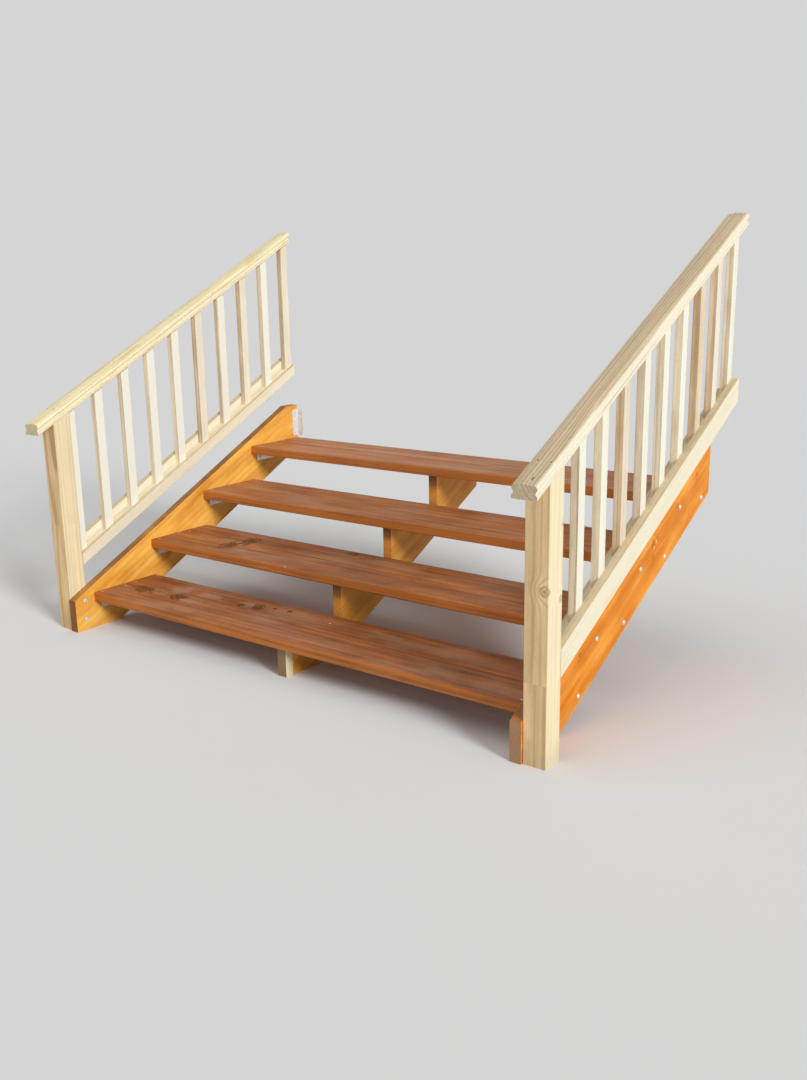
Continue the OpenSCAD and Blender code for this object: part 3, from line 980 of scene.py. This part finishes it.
# %% A function for turned parts
def turn_part(shape, centre, axis, outline, sides=24):
    """Adds a closed turned solid, whose outline lists (radius, height) pairs from the base up."""
    facing = axis.to_track_quat("Z", "Y").to_matrix()
    turns = [math.tau * i / sides for i in range(sides)]
    rings = [[shape.verts.new(centre + facing @ Vector((radius * math.cos(turn), radius * math.sin(turn),
                                                        height))) for turn in turns]
             for radius, height in outline]
    for lower, upper in zip(rings, rings[1:]):
        for i in range(sides):
            j = (i + 1) % sides
            shape.faces.new((lower[i], lower[j], upper[j], upper[i]))
    shape.faces.new(rings[0][::-1])
    shape.faces.new(rings[-1])


def dome(radius, height, steps=5, brim=0.8 * MM):
    """The outline of a cup head: a short brim, then a curve that closes near the middle."""
    quarter = [math.pi / 2 * i / steps for i in range(steps)]
    return [(radius, 0), (radius, brim)] + [
        (radius * math.cos(a), brim + (height - brim) * math.sin(a)) for a in quarter[1:]]


def hexagon(width, height):
    """The outline of a nut or a coach screw's head, with its corners taken off on top."""
    corner = width / math.sqrt(3)
    chamfer = 0.12 * corner
    return [(corner, 0), (corner, height - chamfer), (corner - chamfer, height)]


cup_head = dome(10.5 * MM, 5.5 * MM)
nut = hexagon(17 * MM, 8 * MM)
bolt_end = [(5 * MM, 0), (5 * MM, 13 * MM), (4 * MM, 14 * MM)]
coach_head = hexagon(15 * MM, 6.5 * MM)
WASHER_HEIGHT = 1.8 * MM
washer = [(11 * MM, 0), (11 * MM, 1.2 * MM), (10.2 * MM, WASHER_HEIGHT)]
print("rings in a cup head:", len(cup_head), "in a nut:", len(nut))

# %% [markdown]
# Each tread's angle is bolted through its stringer by two cup-head bolts. Their domes show on
# the outer face, and washers, nuts and bolt ends show under the treads. The newels are drawn
# against the stringers by two coach screws each. Their places are counted from the packed
# pieces, so they stay in their holes if the stair changes. All fixings of a kind on one side
# are one piece, because they are never handled one by one.

# %% Bolt the brackets and the newels
BOLT_FROM_END, BOLT_DROP = 26 * MM, 16 * MM
NEWEL_BOLT_IN, NEWEL_BOLTS_UP = 50 * MM, (50 * MM, 139 * MM)
PLATE = 3 * MM
STEEL_SMOOTH = math.radians(35)
bracket_in = low("tread_brackets_left").y - low("tread_1_front").y
bracket_length = high("tread_brackets_left").y - low("tread_4_front").y - bracket_in


def bracket_bolts_at(k):
    """How far up the stair the two bolts of a tread bracket lie, and how high."""
    front = low(f"tread_{k}_front").y + bracket_in
    height = low(f"tread_{k}_front").z - BOLT_DROP
    return [(front + BOLT_FROM_END, height), (front + bracket_length - BOLT_FROM_END, height)]


for side, sign in SIDES:
    outward, inward = Vector((sign, 0, 0)), Vector((-sign, 0, 0))
    outer, inner = sign * outer_face, -sign * inner_face
    over_washer = inward * WASHER_HEIGHT
    heads, nuts, coach = bmesh.new(), bmesh.new(), bmesh.new()
    for k in TREADS:
        for y, z in bracket_bolts_at(k):
            turn_part(heads, Vector((outer, y, z)), outward, cup_head)
            seat = Vector((inner, y, z)) + inward * PLATE
            turn_part(nuts, seat, inward, washer)
            turn_part(nuts, seat + over_washer, inward, nut, sides=6)
            turn_part(nuts, seat, inward, bolt_end)
    for up in NEWEL_BOLTS_UP:
        seat = Vector((inner, low(f"newel_{side}").y + NEWEL_BOLT_IN, foot + up))
        turn_part(coach, seat, inward, washer)
        turn_part(coach, seat + over_washer, inward, coach_head, sides=6)
    add_piece(f"bracket_bolt_heads_{side}", heads, bolt_steel, STEEL_SMOOTH)
    add_piece(f"bracket_nuts_{side}", nuts, bolt_steel, STEEL_SMOOTH)
    add_piece(f"newel_coach_screws_{side}", coach, bolt_steel, STEEL_SMOOTH)

# %% [markdown]
# Screws do the lighter work. Pan heads hold each angle up against its tread, and hold the
# tall angles at the head of the flight. Two sunk screws hold each end of a tread board. A row
# in perfect line would look machined, so each sunk screw strays a few millimetres, as screws
# driven by hand do.

# %% Screw the brackets and the treads
SCREWS_FROM_FRONT = {"front": (28 * MM, 157 * MM), "back": (38 * MM, 168 * MM)}
SCREW_FROM_END = 29 * MM
STRAYS_ENDWAYS, STRAYS_SIDEWAYS = 9 * MM, 3 * MM
LEG_MIDDLE = 23 * MM
TALL_ANGLE_SCREW_IN = 17 * MM
pan_head = dome(6.5 * MM, 3.2 * MM, steps=4, brim=0.6 * MM)
sunk_head = [(4.6 * MM, 0), (4.6 * MM, 0.25 * MM), (4.2 * MM, 0.4 * MM), (1.9 * MM, 0.4 * MM),
             (1.7 * MM, 0.05 * MM)]

for side, sign in SIDES:
    inward = Vector((-sign, 0, 0))
    inner = -sign * inner_face
    screws, sunk = bmesh.new(), bmesh.new()
    for k in TREADS:
        for y, z in bracket_bolts_at(k):
            under = Vector((inner, y, low(f"tread_{k}_front").z - PLATE)) + inward * LEG_MIDDLE
            turn_part(screws, under, -UPRIGHT, pan_head)
        for row, distances in SCREWS_FROM_FRONT.items():
            board = f"tread_{k}_{row}"
            luck = random.Random(board + side)
            for distance in distances:
                from_end = SCREW_FROM_END + luck.uniform(-STRAYS_ENDWAYS, STRAYS_ENDWAYS)
                back = distance + luck.uniform(-STRAYS_SIDEWAYS, STRAYS_SIDEWAYS)
                spot = Vector((sign * (high(board).x - from_end), low(board).y + back, high(board).z))
                turn_part(sunk, spot, UPRIGHT, sunk_head)
    tall = f"deck_bracket_{side}"
    for z in (low(tall).z + TALL_ANGLE_SCREW_IN, high(tall).z - TALL_ANGLE_SCREW_IN):
        turn_part(screws, Vector((inner, -LEG_MIDDLE, z)) + inward * PLATE, inward, pan_head)
        turn_part(screws, Vector((inner, -PLATE, z)) + inward * LEG_MIDDLE, -UPHILL, pan_head)
    add_piece(f"bracket_screws_{side}", screws, bolt_steel, STEEL_SMOOTH)
    add_piece(f"tread_screws_{side}", sunk, bolt_steel, STEEL_SMOOTH)

# %% [markdown] The bolt heads and crumbs stand proud of their boards.
